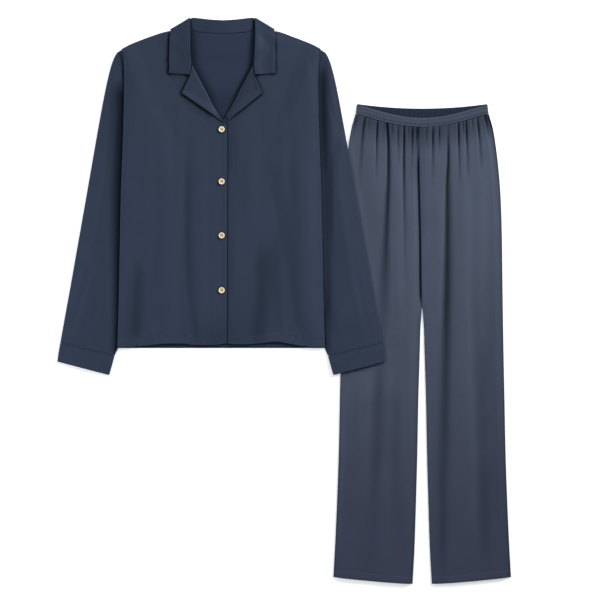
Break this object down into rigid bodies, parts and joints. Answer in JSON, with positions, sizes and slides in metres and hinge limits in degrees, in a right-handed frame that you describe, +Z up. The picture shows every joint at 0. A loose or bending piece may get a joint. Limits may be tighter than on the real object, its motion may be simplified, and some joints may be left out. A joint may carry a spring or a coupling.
{
  "type": "two-piece pyjama set laid flat",
  "caption": "Long-sleeved pyjama shirt with a notched camp collar and wide elastic-waisted trousers, laid flat side by side with one sleeve over the trousers",
  "frame": {"origin": "on the surface the set lies on, below the middle of its outline", "axes": "+X to the viewer's right, +Y from the trouser hems towards the shirt's collar, +Z up from the surface"},
  "size_m": [0.9066, 1.1321, 0.0101],
  "materials": {
    "shirt_satin": "slate navy polyester satin, soft low sheen",
    "trouser_satin": "slate navy polyester satin, brighter soft sheen along the folds",
    "button_resin": "cream polyester resin with a tan centre, polished"
  },
  "bodies": {
    "root": {"shirt_back": "shirt_satin", "shirt_front_right": "shirt_satin", "shirt_front_left": "shirt_satin", "lapel_right": "shirt_satin", "lapel_left": "shirt_satin", "collar": "shirt_satin", "sleeve_right": "shirt_satin", "sleeve_left": "shirt_satin", "cuff_right": "shirt_satin", "cuff_left": "shirt_satin", "button_1": "button_resin", "button_2": "button_resin", "button_3": "button_resin", "button_4": "button_resin", "leg_front_right": "trouser_satin", "leg_front_left": "trouser_satin", "leg_back_right": "trouser_satin", "leg_back_left": "trouser_satin", "waistband": "trouser_satin"}
  },
  "joints": []
}
